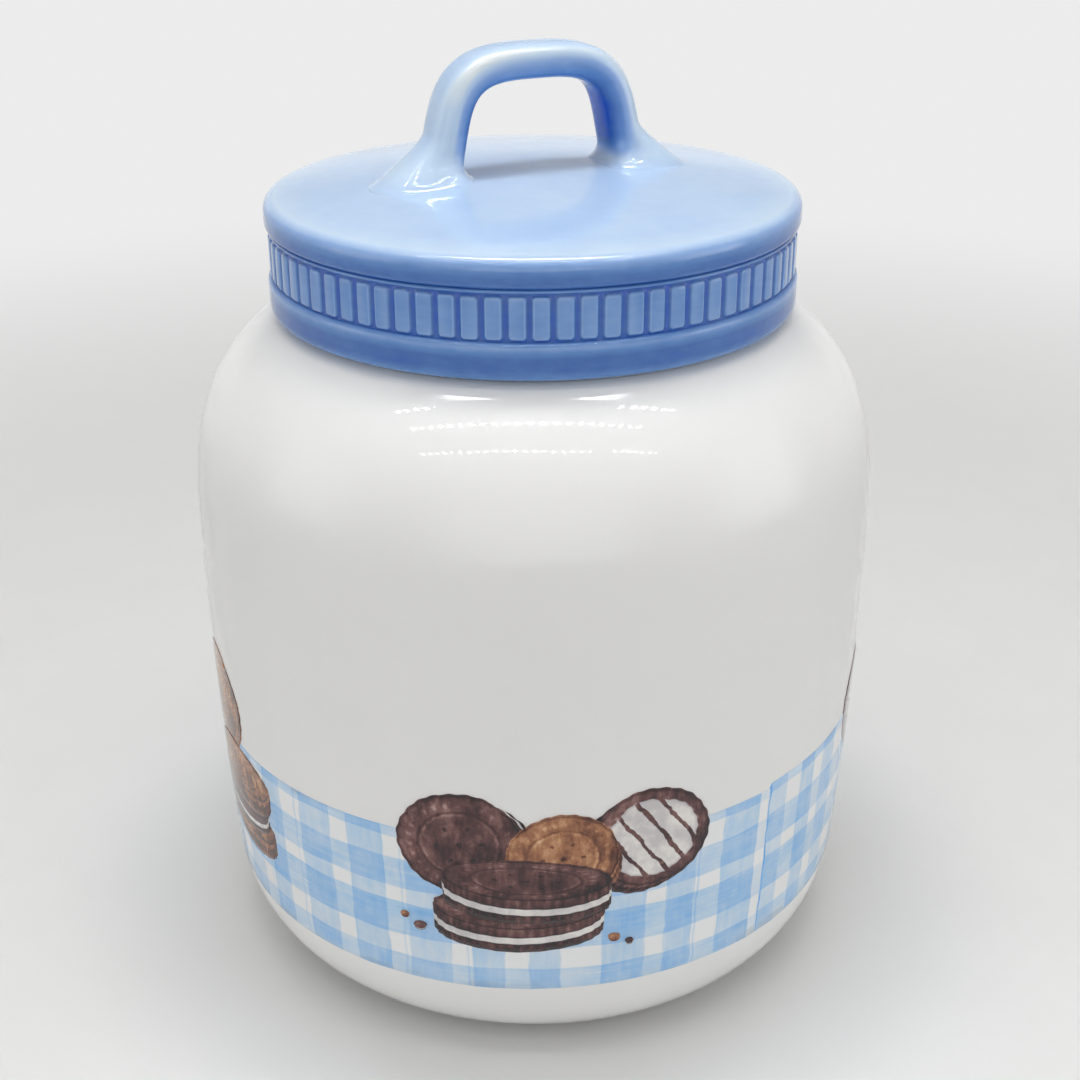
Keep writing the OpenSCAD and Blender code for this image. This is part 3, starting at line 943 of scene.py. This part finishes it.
# sections square to the middle line, growing towards the feet and turning to lie along the
# dome; the last of each foot runs out thin so that glaze seems to flow on to the dome
def makeHandleStrap():
    steps, n = handle["legSteps"], handle["sides"]
    ups = 0.9 * (np.arange(steps + 1) / steps) ** 1.6
    leg = np.degrees(np.arcsin(ups ** (handle["archUp"] / 2)))
    bend = leg[-1]
    top = bend + (180 - 2 * bend) * np.arange(1, handle["topSteps"]) / handle["topSteps"]
    t = np.concatenate([leg, top, (180 - leg)[::-1]])
    middle = archLine(t)
    step = np.clip(np.minimum(t, 180 - t) / 20, 0.001, None)
    way = archLine(np.clip(t + step, 0, 180)) - archLine(np.clip(t - step, 0, 180))
    way /= np.linalg.norm(way, axis=1)[:, None]
    up = middle[:, 1] - legZ
    thick = handle["legHalf"] + (handle["topHalf"] - handle["legHalf"]) * (up / archRise) ** 2
    outward = thick + handle["footOut"] * spread(up, handle["footOutH"])
    inward = thick + handle["footIn"] * spread(up, handle["footInH"])
    halfWidth = handle["strapHalf"] + handle["footSide"] * spread(up, handle["footSideH"])
    level = np.clip(1 - up / handle["footOutH"], 0, 1) ** 2
    feathered = -up * np.exp(-up / handle["feather"])
    a = np.radians(np.arange(n) * 360 / n)
    # the section's corners soften towards the foot
    square = np.interp(up, [0, 6], [handle["footSquare"], handle["sectionSquare"]])
    power = 2 / square[:, None]
    ca = np.sign(np.cos(a)) * np.abs(np.cos(a)) ** power
    sa = np.sign(np.sin(a)) * np.abs(np.sin(a)) ** power
    off = np.where(ca > 0, ca * outward[:, None], ca * inward[:, None])
    x = middle[:, :1] + off * way[:, 1:]
    y = halfWidth[:, None] * sa
    slope = domeZ(np.hypot(x, y)) - legZ
    z = middle[:, 1:] - off * way[:, :1] * (1 - level[:, None]) + slope * level[:, None]
    z = z - 0.05 + feathered[:, None]
    feet = [(side * handle["legX"], 0, legZ - 0.3) for side in (1, -1)]
    points, faces = closedTube(np.stack([x, y, z], -1), feet, turned=True)
    # round the section from the inner face out: deep under the arch, cream along the outer corners
    # where the glaze breaks thin, partly a painted highlight, pale on top;
    # deeper down the inside of the legs, painted shade deeper on the right half, a painted
    # highlight on the feet, and as the dome at the feet
    depth = np.interp(ca, *zip(*handle["depths"]))
    inner = np.clip(-ca, 0, 1) ** 0.7
    down = np.clip(1 - up / archRise, 0, 1)[:, None]
    depth = depth + handle["legDeeper"] * inner * np.sin(np.pi * np.clip(down * 1.15, 0, 1))
    depth = depth - handle["legPaler"] * (1 - ca**2) * down
    # painted shade: deeper on the right half of the strap and paler on the left, outer face aside
    rightwards = np.clip(x / handle["legX"], -1, 1)
    depth = depth + handle["rightPaintedShade"] * rightwards * (1 - np.clip(ca, 0, 1))
    depth = np.maximum(depth, handle["legLeast"] * np.clip(down * 2.5, 0, 1))
    # painted highlight: the feet are paler than the dome
    onFoot = np.clip(1 - (up - 2) / 6, 0, 1)[:, None]
    depth = depth * (1 - onFoot) + handle["footPaintedHighlight"] * onFoot
    onDome = np.clip(1 - up / 2.6, 0, 1)[:, None]
    depth = depth * (1 - onDome) + lid["domeDepth"] * onDome
    marks = {"glazeDepth": np.append(depth.ravel(), [0.25, 0.25])}
    piece = makePiece("handleStrap", points, faces, blueGlaze, marks)
    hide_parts("lid_handle")
    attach(piece, "lid")


makeHandleStrap()
print("handle made")


# ---- seal ----

seal = {
    "fit": 0.1,
    "clear": 0.3,
    "lips": 3,
    "back": 0.6,  # how far the ring's back stands out of the groove
    "lipRise": 0.6,
    "tipHalf": 0.25,
    "columns": 240,
}


# a flat back and, for each lip, a curve out to a round tip that points a little upwards
def makeSealRing():
    low = grooveZ + seal["fit"]
    high = grooveZ + lid["grooveH"] - seal["fit"]
    innerR, backR = grooveRadius + seal["fit"], spigotRadius + seal["back"]
    lipR = boreRadius - seal["clear"]
    pitch = (high - low) / seal["lips"]
    lines = [straight((innerR, low), (backR - 0.2, low), 2)]
    root, tip = pitch * 0.3, seal["tipHalf"]
    out = np.linspace(0, 1, 7)[:, None]
    curve = np.hstack([out, out**1.5])
    for lip in range(seal["lips"]):
        z = low + pitch * (lip + 0.5)
        centre = np.array([lipR - tip, z + seal["lipRise"]])
        start, end = np.array([backR, z - root]), np.array([backR, z + root])
        under = start + (centre - (0, tip) - start) * curve
        over = end + (centre + (0, tip) - end) * curve
        lines += [under[:-1], arcLine(*centre, tip, -90, 90, 6), over[::-1][1:]]
    lines.append(straight((backR - 0.2, high), (innerR, high), 2))
    lines.append(straight((innerR, high - 1), (innerR, low + 1), 2))
    profile = np.vstack(lines)
    angle = np.linspace(0, 2 * np.pi, seal["columns"], endpoint=False)
    grid = roundAxis(profile[:, :1], angle, profile[:, 1:])
    faces = [gridFaces(len(profile), len(angle), closeRows=True)]
    piece = makePiece("sealRing", grid.reshape(-1, 3), faces, sealSilicone)
    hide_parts("seal_ring")
    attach(piece, "lid")


makeSealRing()
print("seal made")


# ---- printed band ----

band = {
    "low": 25.0,  # height of its lower edge
    "tall": 45.9,
    "seam": 41.3,  # degrees to the right of the side that faces the camera
    "overlap": 1.2,
    "climb": 1.6,  # how much higher the strip's top edge starts than it ends
    "askew": 0.7,  # how far it sits out of level
    "proud": 0.12,
    "lap": 0.04,
    "rimDrop": 0.10,  # how far its rim falls towards the glaze
    "sunk": 0.35,  # depth of its closing skin under the glaze
    "corner": 1.6,
    # rows from the lower edge up: height, strength of the wash across
    "rows": [(6.5, 0.85), (6.5, 0), (10.4, 1), (4.4, 0), (8.7, 0.9), (6.7, 0), (2.7, 0.85)],
    # columns next to the seam, leftwards: width, strength of the wash down
    "nearSeam": [
        (3.3, 0), (11.6, 1), (6.6, 0), (0.5, 0.9), (0.6, 0),
        (8.0, 1), (5.3, 0), (11.3, 1), (4.4, 0),
    ],
    # and rightwards from it
    "fromStart": [(0.6, 1.7), (6.4, 0.75), (6.0, 0), (7.0, 1), (4.6, 0)],
    # the columns between: spans for their widths, their gaps and their strengths
    "column": (7.6, 11.4),
    "gap": (3.6, 6.4),
    "strength": (0.82, 1.0),
    # a fine stroke that strayed into a gap: how often, its width and strength, the gap after it
    "stray": 0.4,
    "strayStroke": (0.5, 0.6),
    "strayGap": (0.9, 1.8),
    "gridAlong": 3.2,
    "gridUp": 2.4,
    "edge": 0.34,  # width of a wash's soft edge
    "wander": 0.38,  # how far an edge wanders
    "seed": 12,
}
facing = math.radians(-90 - shot["turn"])  # angle of the side that faces the camera
seamAngle = facing + math.radians(band["seam"])
meanRadius = float(wallRadius(band["low"] + band["tall"] / 2))
bandLong = 2 * math.pi * meanRadius


# columns of the strip from its start, rightwards from the seam: widths and strengths
def columnList():
    random = np.random.default_rng(band["seed"])
    near = band["nearSeam"][::-1]
    left = bandLong - sum(width for width, _ in near)
    widths, strengths = map(list, zip(*band["fromStart"]))
    while sum(widths) < left - 12:
        widths += [random.uniform(*band["column"]), random.uniform(*band["gap"])]
        strengths += [random.uniform(*band["strength"]), 0.0]
        if random.uniform() < band["stray"]:
            width, strength = band["strayStroke"]
            widths += [width, random.uniform(*band["strayGap"])]
            strengths += [strength, 0.0]
    widths = list(np.array(widths) * (left / sum(widths)))
    widths += [width for width, _ in near] + [band["overlap"]]
    strengths += [strength for _, strength in near] + [0.0]
    return np.array(widths), np.array(strengths)


# lines of a grid that close up at each change of strength, and the strength on each line
def washLines(widths, strengths, step):
    edge = band["edge"]
    ends = np.concatenate([[0], np.cumsum(widths)])
    lines, values = [0.0], [strengths[0]]
    for i in range(len(widths)):
        a, b = ends[i] + edge / 2, ends[i + 1] - edge / 2
        inner = np.linspace(a, b, max(2, int((b - a) / step) + 1)) if b > a else [(a + b) / 2]
        lines += list(inner)
        values += [strengths[i]] * len(inner)
    lines.append(ends[-1])
    values.append(strengths[-1])
    return np.array(lines), np.array(values)


# slow noise from a few sines
def drift(a, b):
    waves = np.sin(a * 0.37 + b * 0.21) + np.sin(a * 0.83 - b * 0.56 + 1.3)
    return (waves + np.sin(a * 0.13 + b * 1.1 + 4.0)) / 3


# points on the wall, or a little proud of it, at a strip place (mm along, height)
def onWall(along, z, proud):
    angle = seamAngle + along / meanRadius
    return roundAxis(wallRadius(z) + sink(z, angle) + proud, angle, z)


# a strip of grid lines bent round the wall, its start lapped over its end, closed by an inner
# skin sunk under the glaze
def makePrintedBand():
    widths, strengths = columnList()
    u, downWash = washLines(widths, strengths, band["gridAlong"])
    v, acrossWash = washLines(*np.transpose(band["rows"]), band["gridUp"])
    U, V = np.meshgrid(u, v)
    inside = (V > 0) & (V < v[-1])
    sideways = (U > 0) & (U < u[-1])
    Uw = U + band["wander"] * drift(V * 1.6, U * 0.5) * sideways
    Vw = V + band["wander"] * drift(U * 0.5 + 9, V * 2.0) * inside
    # the strip starts with a rounded upper corner
    near = np.clip(1 - U / band["corner"], 0, 1)
    top = v[-1] - band["corner"] * (1 - np.sqrt(1 - near**2))
    Vw = Vw * top / v[-1]
    shift = band["climb"] * (1 - U / bandLong) * Vw / v[-1]
    delta = seamAngle + U / meanRadius - facing
    z = band["low"] + Vw + shift + band["askew"] * np.sin(delta)
    lap = band["lap"] * np.clip(1 - U / 5, 0, 1)
    rim = ((V <= 0) | (V >= v[-1]) | (U <= 0) | (U >= u[-1])) * 1.0
    outer = onWall(Uw, z, band["proud"] + lap - band["rimDrop"] * rim)
    inner = onWall(Uw, z, -band["sunk"])[::-1]
    rows, columns = U.shape
    points = np.vstack([outer, inner]).reshape(-1, 3)
    total = rows * 2
    sheet = gridFaces(total, columns, closeRows=True, closeColumns=False)
    index = np.arange(total * columns).reshape(total, columns)
    # the two ends, from outer rows to the inner rows behind them
    back = index[::-1][:rows]
    front = index[:rows]
    startCap = np.stack([front[:-1, 0], front[1:, 0], back[1:, 0], back[:-1, 0]], -1)
    endCap = np.stack([front[:-1, -1], back[:-1, -1], back[1:, -1], front[1:, -1]], -1)
    across = np.repeat(acrossWash, columns).reshape(rows, columns)
    down = np.tile(downWash, (rows, 1)).astype(float)
    # the rows run dry just before the strip's end
    across = across * (1 - 0.5 * (U > bandLong - band["nearSeam"][0][0]))
    # colour gathered along the start of the strip, where it laps over its end
    across = np.maximum(across, 0.95 * (U < band["fromStart"][0][0]))
    # the closing skin carries the same values in backward order of rows
    marks = {
        "acrossWash": np.vstack([across, across[::-1]]).ravel(),
        "downWash": np.vstack([down, down[::-1]]).ravel(),
    }
    flat = np.stack([Uw, Vw], -1) / 100
    place = np.vstack([flat, flat[::-1]]).reshape(-1, 2)
    faces = [np.vstack([sheet, startCap, endCap])]
    piece = makePiece("printedBand", points, faces, ginghamWash, marks, place, "bandPlace")
    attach(piece, "jar")


makePrintedBand()
print("printed band made")


# ---- printed biscuits ----

biscuits = {
    "rings": 9,
    "sideRings": 5,
    "columns": 120,
    "scallops": 24,
    "scallopDepth": 0.010,  # share of the radius
    "proud": 0.16,
    "layer": 0.05,  # each biscuit lies this much over the one before
    "sunk": 0.3,  # depth of the closing skin under the glaze
    "line": 0.28,  # width of the painted line round the far side
    "wobble": (0.010, 0.006),
    # groups round the jar: degrees to the right of the facing side, then the biscuits from the
    # back forwards: along, height, half width, half height, lean, side (along, up), kind
    "groups": [
        (1, [
            (-20, 69, 15.5, 14.5, 8, (3.0, -1.6), 0),
            (27, 69, 15.0, 14.0, -12, (-3.0, -1.8), 2),
            (5, 66, 13.5, 12.5, 4, (1.0, -2.2), 1),
            (-6, 50.5, 21.0, 5.8, 1, (0, -7.4), 0),
            (-4, 59.5, 20.5, 5.8, -2, (0, -7.4), 0),
            (-31, 42.5, 1.5, 0.9, 10, (0, -0.6), 0),
            (-35, 45.0, 0.9, 0.6, 0, (0, -0.5), 1),
            (18, 40.5, 1.3, 0.8, -8, (0, -0.6), 1),
            (22, 38.5, 0.8, 0.6, 0, (0, -0.5), 0),
        ]),
        (85, [
            (-12, 72, 14.0, 13.5, 10, (2.6, -1.4), 2),
            (12, 52, 18.5, 6.2, -3, (0, -4.8), 2),
            (10, 58, 18.5, 6.2, 3, (0, -4.8), 1),
        ]),
        (183, [
            (14, 70, 15.5, 14.5, -9, (-3.0, -1.6), 0),
            (-10, 48, 19.5, 6.2, 2, (0, -7.4), 0),
            (-12, 57, 19.0, 6.0, -3, (0, -5.0), 1),
            (-36, 43, 1.4, 0.9, 10, (0, -0.6), 1),
        ]),
        (-66, [
            (-6, 80, 14.0, 13.5, -8, (2.6, -1.6), 1),
            (6, 50, 17.5, 6.0, -4, (0, -5.0), 1),
            (4, 56, 17.5, 6.0, 2, (0, -5.0), 0),
            (6, 63, 17.0, 6.0, -2, (0, -5.0), 1),
        ]),
    ],
}


# one painted biscuit: rings of an ellipse, then rings that slide its front half down the side;
# everything is laid on the wall and closed by an inner skin
def biscuitShell(spec, facingAlong, layer):
    along, height, halfW, halfH, lean, side, kind = spec
    n, sunk, line = biscuits["columns"], biscuits["sunk"], biscuits["line"]
    a = np.linspace(0, 2 * np.pi, n, endpoint=False)
    inside = np.linspace(0, 1, biscuits["rings"] + 1)[1:] ** 0.8
    beside = np.linspace(0, 1, biscuits["sideRings"] + 1)[1:]
    reach = np.concatenate([inside, np.ones(len(beside) + 1)])[:, None]
    down = np.concatenate([np.zeros(len(inside)), beside, [1.0]])[:, None]
    tilt = math.radians(lean)

    def leaned(x, y):
        c, s = math.cos(tilt), math.sin(tilt)
        return x * c - y * s, x * s + y * c

    # a hand-painted outline: fine scallops, and a slow wobble that differs for each
    slow, quick = biscuits["wobble"]
    edge = 1 + biscuits["scallopDepth"] * np.cos(biscuits["scallops"] * a)
    edge += slow * np.sin(3 * a + along) + quick * np.sin(7 * a + height)
    edgeX, edgeY = leaned(halfW * np.cos(a) * edge, halfH * np.sin(a) * edge)
    outX, outY = leaned(np.cos(a) / halfW, np.sin(a) / halfH)
    length = np.hypot(outX, outY)
    # the front half slides down the side, and the far side shows only a thin painted line
    isFront = (outX * side[0] + outY * side[1]) > 0
    slideX = np.where(isFront, side[0], line * outX / length)
    slideY = np.where(isFront, side[1], line * outY / length)
    sideDrop = down * np.where(isFront, 1.0, 0.12)
    middleAlong = facingAlong + along
    X = middleAlong + (reach * edgeX + down * slideX)
    Y = height + (reach * edgeY + down * slideY)
    lift = biscuits["proud"] + biscuits["layer"] * layer
    proud = np.full(X.shape, lift)
    proud[-1] = -sunk
    outer, inner = onWall(X, Y, proud), onWall(X[:-1], Y[:-1], -sunk)[::-1]
    ends = onWall(np.full(2, middleAlong), np.full(2, height), np.array([lift, -sunk]))
    points, faces = closedTube(np.vstack([outer, inner]), ends, turned=True)
    flat = np.stack([reach * np.cos(a), reach * np.sin(a)], -1) * 0.25 + 0.5
    place = np.vstack([flat, flat[-2::-1]]).reshape(-1, 2)
    place = np.vstack([place, [(0.5, 0.5)] * 2])
    marks = {
        "sideDrop": np.append(np.vstack([sideDrop, sideDrop[-2::-1]]), [0, 0]),
        "biscuitKind": np.full(len(points), kind / 3 + 0.1),
    }
    return points, faces, marks, place


def makeBiscuits():
    for number, (degrees, specs) in enumerate(biscuits["groups"]):
        facingAlong = math.radians(degrees - band["seam"]) * meanRadius
        shells = [biscuitShell(spec, facingAlong, i) for i, spec in enumerate(specs)]
        starts = np.cumsum([0] + [len(s[0]) for s in shells[:-1]])
        faces = [np.vstack([s[1][i] + k for s, k in zip(shells, starts)]) for i in (0, 1)]
        marks = {key: np.concatenate([s[2][key] for s in shells]) for key in shells[0][2]}
        points, place = (np.vstack([s[i] for s in shells]) for i in (0, 3))
        name = f"printedBiscuits{number + 1}"
        piece = makePiece(name, points, faces, biscuitPaint, marks, place, "facePlace")
        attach(piece, "jar")


makeBiscuits()
print("printed biscuits made")


# ---- floor, lamps and sky ----

studio = {
    "floor": (0.80, 0.80, 0.79),
    "floorReach": 6000.0,
    "floorSides": 96,
    "floorDrop": 0.02,  # how far it lies under the jar's foot
    "floorFade": (0.22, 0.85),  # metres from the jar between which it turns even
    "farFloor": 0.84,  # brightness of the floor away from the jar
    "sky": 0.27,  # light from all round
    "seenSky": 0.84,  # what the camera sees of it, and gloss near the horizon
    "seenAbove": 0.46,  # what gloss sees higher up
    # soft panels: name, centre in the shot, what it faces, size, brightness
    "panels": [
        ("ceilingPanel", (0, 120, 1300), (0, 100, 0), (2200, 1300), 0.42),
        ("topPanel", (0, 25, 1000), (0, 25, 0), (700, 120), 35.0),
        ("frontPanel", (0, -1100, 240), (0, 0, 110), (1800, 900), 0.95),
        ("leftPanel", (-1000, -250, 300), (0, 0, 120), (900, 900), 1.0),
        ("rightPanel", (1000, -250, 300), (0, 0, 120), (900, 900), 1.35),
    ],
    "panelSoft": 0.35,  # share of a panel over which its edge fades
    # rows of small lamps under the ceiling: how far right, how far away, how long, brightness
    "rowHeight": 1000.0,
    "rowWidth": 24.0,
    "rowPitch": 46.0,
    # off the middle of a pitch: dark from here, bright up to here, and how bright
    "rowLamp": (0.20, 0.14, 2.6),
    "rows": [
        (-170, -585, 900, 13.0),
        (545, -575, 300, 12.0),
        (-40, -275, 1000, 20.0),
        (-450, -80, 200, 22.0),
        (420, -85, 260, 22.0),
    ],
}


# a rectangle lamp with its long side along the camera's right; its power follows from the
# brightness that its surface should have
def addLamp(name, at, target, size, glow):
    data = bpy.data.lights.new(name, "AREA")
    data.shape = "RECTANGLE"
    data.size, data.size_y = size[0] * mm, size[1] * mm
    data.energy = glow * math.pi * data.size * data.size_y
    at, target = inShot(*at), inShot(*target)
    back = (at - target).normalized()
    long = Vector((-back.y, back.x, 0)).normalized() if abs(back.z) < 0.98 else rightWay
    lamp = bpy.data.objects.new(name, data)
    lamp.matrix_world = Matrix((long, back.cross(long), back)).transposed().to_4x4()
    lamp.location = at
    lamp.visible_camera = False
    bpy.context.scene.collection.objects.link(lamp)
    data.use_nodes = True
    n = Nodes(data.node_tree)
    n.tree.nodes.clear()
    shine = n.add("Emission")
    n.add("OutputLight", {0: shine.outputs[0]})
    return n, n.split(n.add("NewGeometry").outputs["Parametric"]), shine


# a soft panel: full from the soft share inwards, 0 at its edges
def addPanel(name, at, target, size, glow):
    n, (sideways, upwards, _), shine = addLamp(name, at, target, size, glow)
    soft = studio["panelSoft"]
    fades = [n.near(share, 0.5, 0.5 - soft, soft) for share in (sideways, upwards)]
    n.feed(shine, {"Strength": n.times(*fades)})
    n.arrange()


# small lamps one after another: bright for about the middle third of each pitch
def addRow(name, right, away, long, glow):
    at = (right, away, studio["rowHeight"])
    size = (long, studio["rowWidth"])
    n, (share, _, _), shine = addLamp(name, at, (right, away, 0), size, glow)
    inPitch = n.math("FRACT", n.times(share, long / studio["rowPitch"]))
    off = n.math("ABSOLUTE", n.minus(inPitch, 0.5))
    dark, bright, peak = studio["rowLamp"]
    n.feed(shine, {"Strength": n.remap(off, dark, bright, 0.0, peak)})
    n.arrange()


# a round floor whose far part keeps one brightness for camera and gloss, so that it stays pale
# all round while the jar's shadow shows near it
def makeFloor():
    radii = np.array([300.0, 900.0, 2200.0, studio["floorReach"]])[:, None]
    angle = np.linspace(0, 2 * np.pi, studio["floorSides"], endpoint=False)
    grid = roundAxis(radii, angle, -studio["floorDrop"])
    points = np.vstack([grid.reshape(-1, 3), [(0, 0, -studio["floorDrop"])]])
    middle = fanFaces(np.arange(len(angle)), len(points) - 1, False)
    faces = [gridFaces(*grid.shape[:2])[:, ::-1], middle]
    material, n, shader = newMaterial("paleFloor")
    place = n.coordinate("Object")
    darker = [0.985 * share for share in studio["floor"]]
    tone = n.ramp(n.noise(place, 35.0, 3.0), [(0.3, darker), (0.7, studio["floor"])])
    n.feed(shader, {"Base Color": tone, "Roughness": 0.55})
    far = n.remap(n.vector("LENGTH", place)["Value"], *studio["floorFade"])
    path = n.add("LightPath").outputs
    seen = n.math("MAXIMUM", path["Is Camera Ray"], path["Is Glossy Ray"])
    even = n.add("Emission", {"Color": [studio["farFloor"]] * 3}).outputs[0]
    both = n.add("MixShader", {0: n.times(far, seen), 1: shader.outputs[0], 2: even})
    n.feed(n.tree.nodes["Material Output"], {0: both.outputs[0]})
    n.arrange()
    makePiece("paleFloor", points, faces, material)


# soft light from all round; the camera sees it even and pale, and gloss sees it graded
def makeSky():
    world = bpy.data.worlds.new("paleSky")
    bpy.context.scene.world = world
    world.use_nodes = True
    n = Nodes(world.node_tree)
    n.tree.nodes.clear()
    path = n.add("LightPath").outputs
    gloss = n.math("MAXIMUM", path["Is Glossy Ray"], path["Is Transmission Ray"])
    up = n.split(n.coordinate("Generated"))[2]
    graded = n.remap(up, 0.04, 0.26, studio["seenSky"], studio["seenAbove"])
    level = n.remap(gloss, 0.0, 1.0, studio["sky"], graded, smooth=False)
    level = n.remap(path["Is Camera Ray"], 0.0, 1.0, level, studio["seenSky"], smooth=False)
    sky = n.add("Background", {"Color": (1.0, 0.995, 0.985), "Strength": level})
    n.add("OutputWorld", {0: sky.outputs[0]})
    n.arrange()


makeFloor()
for panel in studio["panels"]:
    addPanel(*panel)
for number, row in enumerate(studio["rows"]):
    addRow(f"lampRow{number + 1}", *row)
makeSky()
bpy.context.scene.view_settings.view_transform = "Standard"
print("studio set")
